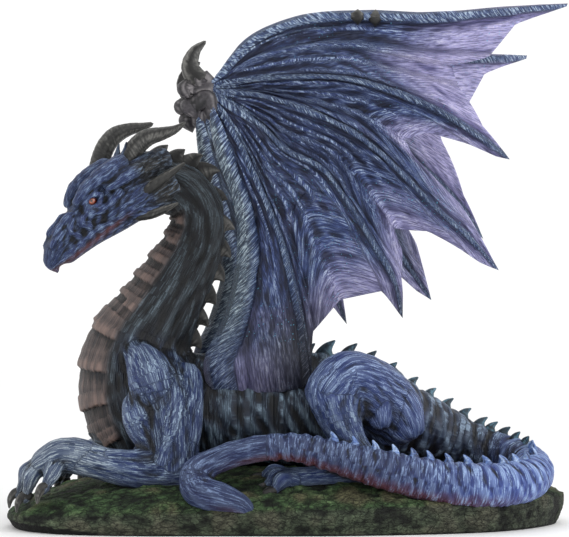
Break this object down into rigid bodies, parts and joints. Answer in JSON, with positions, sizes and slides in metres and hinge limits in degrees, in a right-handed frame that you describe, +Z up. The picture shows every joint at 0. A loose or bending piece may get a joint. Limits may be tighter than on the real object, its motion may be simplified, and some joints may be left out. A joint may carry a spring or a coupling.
{
  "type": "dragon statue",
  "caption": "Painted resin statue of a winged dragon lying alert on a mossy oval mound, wings raised, tail curled forward along its side.",
  "frame": {"origin": "centre of the mound's flat underside, which the statue stands on", "axes": "+Z up, -X the way the dragon faces, -Y towards its left side"},
  "size_m": [0.2593, 0.134, 0.2343],
  "materials": {
    "dragon_on_mound": "cast resin, blue over black wash with pale dry-brushed strokes, mossy green mound, satin",
    "left_wing": "cast resin, indigo to lavender with pale dry-brushed ribs and fine glitter, satin",
    "right_wing": "cast resin, indigo to lavender with pale dry-brushed ribs and fine glitter, satin"
  },
  "bodies": {
    "root": {"dragon_on_mound": "dragon_on_mound", "left_wing": "left_wing", "right_wing": "right_wing"}
  },
  "joints": []
}
